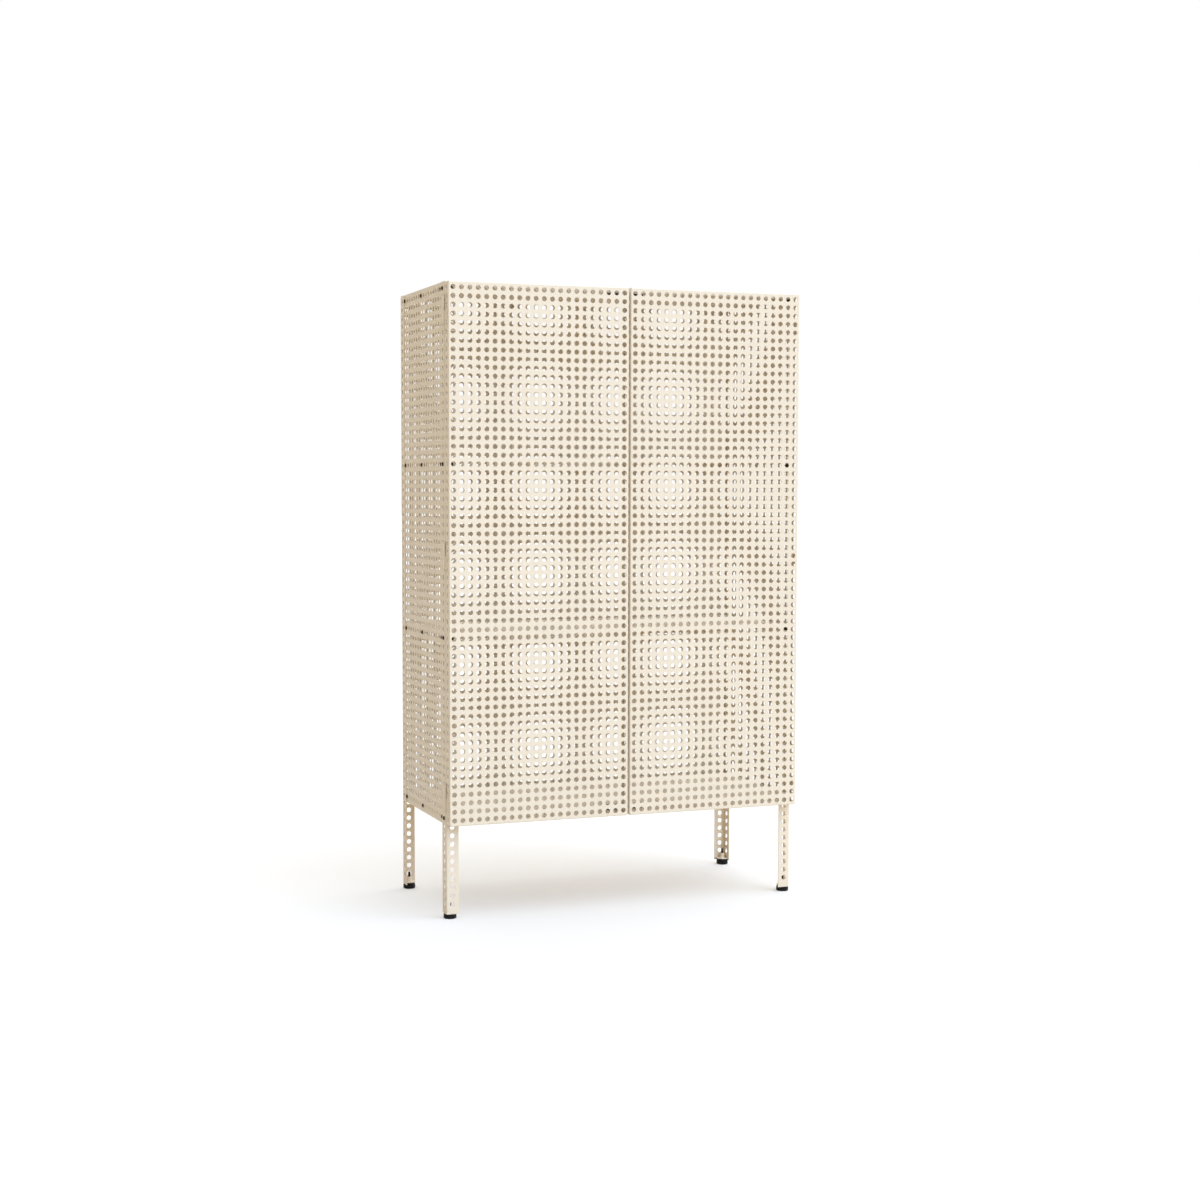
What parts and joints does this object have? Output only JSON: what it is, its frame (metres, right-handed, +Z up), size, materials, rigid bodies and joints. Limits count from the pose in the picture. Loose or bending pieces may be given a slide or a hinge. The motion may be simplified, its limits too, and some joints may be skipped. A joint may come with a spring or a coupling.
{
  "type": "storage cabinet",
  "caption": "Tall free-standing cabinet of perforated sheet steel with a pair of hinged doors, inner shelves and perforated angle legs on round feet.",
  "frame": {"origin": "on the floor, under the middle of the outline, which the doors' faces bound in front and the heads of the back bolts behind", "axes": "+Z up, -Y out of the doors, +X to the right of a person facing the doors"},
  "size_m": [0.9026, 0.4028, 1.47],
  "materials": {
    "cream_steel": "satin powder coat",
    "bolt_black": "black oxide",
    "screw_steel": "dark plated",
    "foot_black": "moulded",
    "catch_black": "moulded",
    "magnet_nickel": "nickel plated",
    "catch_screw": "black zinc"
  },
  "bodies": {
    "cabinet": {"back_bolts": "bolt_black", "back_nuts": "bolt_black", "back_panel": "cream_steel", "bottom_panel": "cream_steel", "catch_housing_lower": "catch_black", "catch_housing_upper": "catch_black", "catch_magnets": "magnet_nickel", "catch_screws": "catch_screw", "foot_front_left": "foot_black", "foot_front_right": "foot_black", "foot_plate_front_left": "cream_steel", "foot_plate_front_right": "cream_steel", "foot_plate_rear_left": "cream_steel", "foot_plate_rear_right": "cream_steel", "foot_rear_left": "foot_black", "foot_rear_right": "foot_black", "foot_screws": "screw_steel", "front_bolts": "bolt_black", "front_nuts": "bolt_black", "hinge_pins_left": "cream_steel", "hinge_pins_right": "cream_steel", "hinge_post_leaf_left_lower": "cream_steel", "hinge_post_leaf_left_middle": "cream_steel", "hinge_post_leaf_left_upper": "cream_steel", "hinge_post_leaf_right_lower": "cream_steel", "hinge_post_leaf_right_middle": "cream_steel", "hinge_post_leaf_right_upper": "cream_steel", "post_front_left": "cream_steel", "post_front_right": "cream_steel", "post_rear_left": "cream_steel", "post_rear_right": "cream_steel", "shelf_lower": "cream_steel", "shelf_upper": "cream_steel", "side_bolts_left": "bolt_black", "side_bolts_right": "bolt_black", "side_nuts_left": "bolt_black", "side_nuts_right": "bolt_black", "side_panel_left": "cream_steel", "side_panel_right": "cream_steel", "top_panel": "cream_steel"},
    "door_left": {"door_left_panel": "cream_steel", "hinge_door_leaf_left_lower": "cream_steel", "hinge_door_leaf_left_middle": "cream_steel", "hinge_door_leaf_left_upper": "cream_steel"},
    "door_right": {"door_right_panel": "cream_steel", "hinge_door_leaf_right_lower": "cream_steel", "hinge_door_leaf_right_middle": "cream_steel", "hinge_door_leaf_right_upper": "cream_steel"}
  },
  "joints": [
    {"name": "door_left_hinge", "type": "hinge", "parent": "cabinet", "child": "door_left", "pos_m": [-0.4483, -0.1729, 0.845], "axis": [0, 0, -1], "range_deg": [0, 175]},
    {"name": "door_right_hinge", "type": "hinge", "parent": "cabinet", "child": "door_right", "pos_m": [0.4483, -0.1729, 0.845], "axis": [0, 0, 1], "range_deg": [0, 175]}
  ]
}
